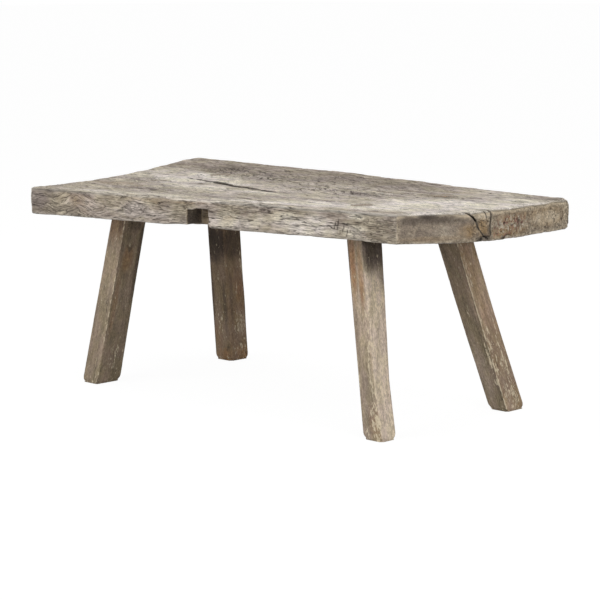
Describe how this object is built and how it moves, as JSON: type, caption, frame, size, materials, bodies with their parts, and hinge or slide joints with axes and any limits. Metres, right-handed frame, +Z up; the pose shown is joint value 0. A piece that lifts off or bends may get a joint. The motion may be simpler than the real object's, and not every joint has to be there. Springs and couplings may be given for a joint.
{
  "type": "rustic coffee table",
  "caption": "Low table with one thick, dished and weathered plank top on splayed hewn legs that go through it and are wedged from above.",
  "frame": {"origin": "on the floor, under the middle of the whole table", "axes": "+Z up, +X along the plank towards the clipped end, +Y across the plank towards its back edge"},
  "size_m": [1.1326, 0.5652, 0.4276],
  "materials": {
    "plank_wood": "bare weathered hardwood, grey-beige, dry and matt, with fissures and worn pale edges",
    "leg_wood": "bare hewn hardwood, dark brown, rubbed pale along its corners and scratched near the floor",
    "wedge_wood": "bare split hardwood, grey-brown end grain"
  },
  "bodies": {
    "root": {"slab_top": "plank_wood", "leg_front_left": "leg_wood", "leg_back_left": "leg_wood", "leg_front_right": "leg_wood", "leg_back_right": "leg_wood", "wedge_front_left": "wedge_wood", "wedge_back_left": "wedge_wood", "wedge_front_right": "wedge_wood", "wedge_back_right": "wedge_wood"}
  },
  "joints": []
}
